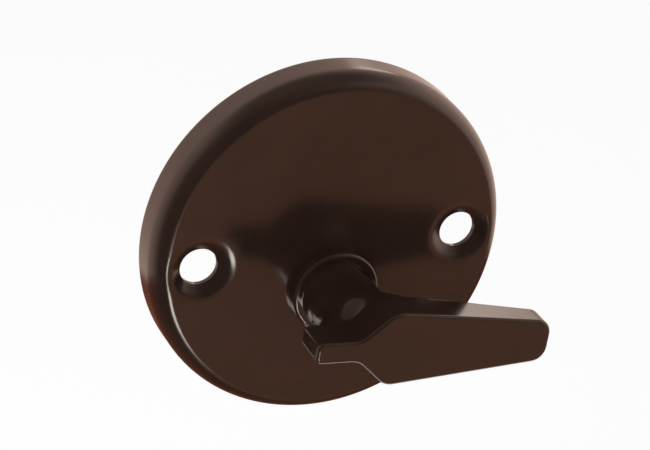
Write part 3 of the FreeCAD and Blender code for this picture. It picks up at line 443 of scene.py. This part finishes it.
ENAMEL_COLOUR = (0.0235, 0.0126, 0.0088, 1)
ENAMEL_LIGHT = (0.029, 0.0150, 0.0104, 1)
ENAMEL_IOR = 1.5
ENAMEL_PEEL_HEIGHT = 0.000004
CLOUDS_A_METRE = 90.0
CLOUD_EDGES = (0.35, 0.65)
CLOUD_DULLING = 0.06
PEEL_A_METRE = 750.0
FINE_PEEL_A_METRE = 3600.0
FINE_PEEL_SHARE = 0.12
SPECKS_A_METRE = 240.0
SPECK_THRESHOLD = 0.80
SPECK_EDGES = (0.012, 0.026)
SPECK_COLOUR = (0.30, 0.27, 0.24, 1)
SPECK_DULLING = 0.4
SPECK_RISE = 1.5


def new_skin(name, inputs):
    """A node group for a surface, with its inputs, that puts out a colour, a roughness and a height."""
    group = bpy.data.node_groups.new(name, "ShaderNodeTree")
    for socket, kind in inputs:
        group.interface.new_socket(socket, in_out="INPUT", socket_type="NodeSocket" + kind)
    for socket, kind in (("Colour", "Color"), ("Roughness", "Float"), ("Height", "Float")):
        group.interface.new_socket(socket, in_out="OUTPUT", socket_type="NodeSocket" + kind)
    return group, group.nodes.new("NodeGroupInput").outputs, group.nodes.new("NodeGroupOutput").inputs


enamel_skin, skin_in, skin_out = new_skin("enamel skin", (
    ("Place", "Vector"), ("Deep", "Color"), ("Light", "Color"), ("Gloss", "Float"), ("Dust", "Float")))


def noise(tree, place, scale, detail=2.0, roughness=0.5):
    """Soft noise with a number of bumps a metre."""
    node = add_node(tree, "TexNoise")
    join(tree, place, node.inputs["Vector"])
    node.inputs["Scale"].default_value = scale
    node.inputs["Detail"].default_value = detail
    node.inputs["Roughness"].default_value = roughness
    return node.outputs["Fac"]


cloud = noise(enamel_skin, skin_in["Place"], CLOUDS_A_METRE, detail=3.0)
fine_peel = noise(enamel_skin, skin_in["Place"], FINE_PEEL_A_METRE)
peel = noise(enamel_skin, skin_in["Place"], PEEL_A_METRE, detail=1.0)
specks = add_node(enamel_skin, "TexVoronoi", feature="F1")
join(enamel_skin, skin_in["Place"], specks.inputs["Vector"])
specks.inputs["Scale"].default_value = SPECKS_A_METRE
speck_size = add_node(enamel_skin, "SeparateColor")
join(enamel_skin, specks.outputs["Color"], speck_size.inputs[0])
chosen = arithmetic(enamel_skin, "GREATER_THAN", speck_size.outputs[0], SPECK_THRESHOLD)
speck = soft_step(enamel_skin, specks.outputs["Distance"], *SPECK_EDGES, 1.0, 0.0)
speck = arithmetic(enamel_skin, "MULTIPLY", speck, chosen)
speck = arithmetic(enamel_skin, "MULTIPLY", speck, skin_in["Dust"])
clouded = soft_step(enamel_skin, cloud, *CLOUD_EDGES)
skin_colour = blend_colour(enamel_skin, clouded, skin_in["Deep"], skin_in["Light"])
skin_colour = blend_colour(enamel_skin, speck, skin_colour, SPECK_COLOUR)
join(enamel_skin, skin_colour, skin_out["Colour"])
skin_roughness = arithmetic(enamel_skin, "SUBTRACT", skin_in["Gloss"], CLOUD_DULLING / 2)
skin_roughness = arithmetic(enamel_skin, "MULTIPLY_ADD", cloud, CLOUD_DULLING, skin_roughness)
skin_roughness = arithmetic(enamel_skin, "MULTIPLY_ADD", speck, SPECK_DULLING, skin_roughness)
join(enamel_skin, skin_roughness, skin_out["Roughness"])
height = arithmetic(enamel_skin, "MULTIPLY_ADD", fine_peel, FINE_PEEL_SHARE, peel)
join(enamel_skin, arithmetic(enamel_skin, "MULTIPLY_ADD", speck, SPECK_RISE, height), skin_out["Height"])


def place_group(tree, group, values):
    """A node group in a material, with its inputs by name."""
    node = add_node(tree, "Group", node_tree=group)
    for name, value in values.items():
        join(tree, value, node.inputs[name])
    return node.outputs


def raise_surface(tree, shader, height, tallest):
    """Bump from a height of 0 to 1, by its tallest value in metres."""
    bump = add_node(tree, "Bump")
    bump.inputs["Distance"].default_value = tallest
    join(tree, height, bump.inputs["Height"])
    join(tree, bump.outputs[0], shader.inputs["Normal"])


def enamel_material(name, gloss, dust):
    """Dark brown stove enamel."""
    material, tree, shader = new_material(name)
    place = add_node(tree, "TexCoord").outputs["Object"]
    skin = place_group(tree, enamel_skin, {"Place": place, "Deep": ENAMEL_COLOUR, "Light": ENAMEL_LIGHT,
                                           "Gloss": gloss, "Dust": dust})
    join(tree, skin["Colour"], shader.inputs["Base Color"])
    join(tree, skin["Roughness"], shader.inputs["Roughness"])
    raise_surface(tree, shader, skin["Height"], ENAMEL_PEEL_HEIGHT)
    shader.inputs["IOR"].default_value = ENAMEL_IOR
    return material


def dress(node, material):
    """Give every material slot of a CAD node one material."""
    for material_slot in nodes[node].material_slots:
        material_slot.material = material


rose.data.materials.append(enamel_material("rose enamel", gloss=0.17, dust=1.0))
rose.data.materials.append(enamel_material("rose enamel inside", gloss=0.34, dust=1.0))


# The turn is one zinc casting of lever, neck and journal. It is enamelled with the rose, in the same brown,
# and its skin is a little smoother, because the casting was tumbled before it was sprayed.
dress("thumb_turn", enamel_material("turn enamel", gloss=0.12, dust=0.5))


def light_only(lamp, node_names):
    """Let a lamp light some CAD nodes alone, and show as a mirrored light in them."""
    lit = bpy.data.collections.new(lamp.name + " lights")
    for node_name in node_names:
        lit.objects.link(nodes[node_name])
    lamp.visible_glossy = True
    lamp.light_linking.receiver_collection = lit


# A small lamp just above the table, for the turn alone, draws a thin light line along the lever's lower edge.
light_only(softbox("edge lamp", place=(0.05, -0.03, -0.19), target=(0.05, -0.03, 0), width=0.18, height=0.12,
                   strength=0.17), ["thumb_turn"])


# The spindle is a square bar of drawn steel, cut off, chamfered and zinc plated, and pressed into the turn.
# Drawing leaves fine lines along it, and the plating is mottled and a little dull.
ZINC_COLOUR = (0.44, 0.475, 0.51, 1)
ZINC_DULL_COLOUR = (0.29, 0.315, 0.34, 1)
MOTTLES_A_METRE = 420.0
GRAINS_A_METRE = 9000.0
WEAR_EDGES = (0.38, 0.62)
WEAR_DULLING = 0.16

plated_skin, plated_in, plated_out = new_skin("plated skin", (
    ("Place", "Vector"), ("Bright", "Color"), ("Dull", "Color"), ("Gloss", "Float"), ("Lines", "Vector"),
    ("Grain", "Float")))
stretched = add_node(plated_skin, "VectorMath", operation="MULTIPLY")
join(plated_skin, plated_in["Place"], stretched.inputs[0])
join(plated_skin, plated_in["Lines"], stretched.inputs[1])
line_marks = noise(plated_skin, stretched.outputs[0], 1.0, detail=4.0, roughness=0.6)
mottle = noise(plated_skin, plated_in["Place"], MOTTLES_A_METRE, detail=4.0, roughness=0.6)
grain = noise(plated_skin, plated_in["Place"], GRAINS_A_METRE)
worn = arithmetic(plated_skin, "MULTIPLY", mottle, 0.5)
worn = arithmetic(plated_skin, "MULTIPLY_ADD", line_marks, 0.5, worn)
worn = soft_step(plated_skin, worn, *WEAR_EDGES)
plated_colour = blend_colour(plated_skin, worn, plated_in["Bright"], plated_in["Dull"])
plated_roughness = arithmetic(plated_skin, "MULTIPLY_ADD", worn, WEAR_DULLING, plated_in["Gloss"])
plated_height = arithmetic(plated_skin, "MULTIPLY_ADD", grain, plated_in["Grain"], line_marks)
join(plated_skin, plated_colour, plated_out["Colour"])
join(plated_skin, plated_roughness, plated_out["Roughness"])
join(plated_skin, plated_height, plated_out["Height"])


def steel_material(name, bright, dull, gloss, lines, grain_share, tallest):
    """A plated or treated steel, with lines a metre along each axis and the tallest mark in metres."""
    material, tree, shader = new_material(name)
    place = add_node(tree, "TexCoord").outputs["Object"]
    skin = place_group(tree, plated_skin, {"Place": place, "Bright": bright, "Dull": dull, "Gloss": gloss,
                                           "Lines": lines, "Grain": grain_share})
    join(tree, skin["Colour"], shader.inputs["Base Color"])
    join(tree, skin["Roughness"], shader.inputs["Roughness"])
    shader.inputs["Metallic"].default_value = 1.0
    raise_surface(tree, shader, skin["Height"], tallest)
    return material


dress("spindle", steel_material("drawn zinc plated steel", ZINC_COLOUR, ZINC_DULL_COLOUR, gloss=0.34,
                                lines=(5200.0, 60.0, 5200.0), grain_share=0.25, tallest=0.000006))


# The wave washer is a ring of hardened spring strip, bent in waves and blued, behind the face of the rose.
# Its tempering leaves a straw to blue tint that changes from place to place.
BLUED_COLOUR = (0.085, 0.115, 0.20, 1)
STRAW_COLOUR = (0.26, 0.19, 0.13, 1)
dress("wave_washer", steel_material("blued spring steel", BLUED_COLOUR, STRAW_COLOUR, gloss=0.24,
                                    lines=(700.0, 700.0, 700.0), grain_share=0.5, tallest=0.000003))


# The thrust washer is stamped from sheet steel and zinc plated.
# It lies flat on the retaining ring, and the waves of the spring washer bear on it.
WASHER_COLOUR = (0.47, 0.50, 0.53, 1)
WASHER_DULL_COLOUR = (0.32, 0.34, 0.36, 1)
dress("thrust_washer", steel_material("stamped zinc plated steel", WASHER_COLOUR, WASHER_DULL_COLOUR,
                                      gloss=0.30, lines=(900.0, 900.0, 900.0), grain_share=0.8,
                                      tallest=0.000005))


# The retaining ring is stamped from spring steel and phosphated, which leaves it nearly black.
# It is spread over the journal by the holes in its two lugs, and snaps into the journal's groove.
RING_COLOUR = (0.075, 0.072, 0.070, 1)
RING_WORN_COLOUR = (0.17, 0.165, 0.16, 1)
dress("retaining_ring", steel_material("phosphated spring steel", RING_COLOUR, RING_WORN_COLOUR, gloss=0.42,
                                       lines=(1500.0, 1500.0, 1500.0), grain_share=1.0, tallest=0.000006))


# The steel parts stand in the lee of the rose, where the tent's plain light leaves bare metal dark.
# Three wide, soft lamps behind the rose are for them alone: one above, and one on each side.
STEEL_PARTS = ("spindle", "wave_washer", "thrust_washer", "retaining_ring")
STEEL_CENTRE = (0, 0.02, 0)
light_only(softbox("steel lamp above", place=(-0.10, 0.30, 0.45), target=STEEL_CENTRE, width=0.8, height=0.7,
                   strength=1.4), STEEL_PARTS)
light_only(softbox("steel lamp right", place=(0.45, 0.20, 0.05), target=STEEL_CENTRE, width=0.6, height=0.6,
                   strength=0.8), STEEL_PARTS)
light_only(softbox("steel lamp left", place=(-0.45, 0.25, 0.0), target=STEEL_CENTRE, width=0.6, height=0.6,
                   strength=0.8), STEEL_PARTS)
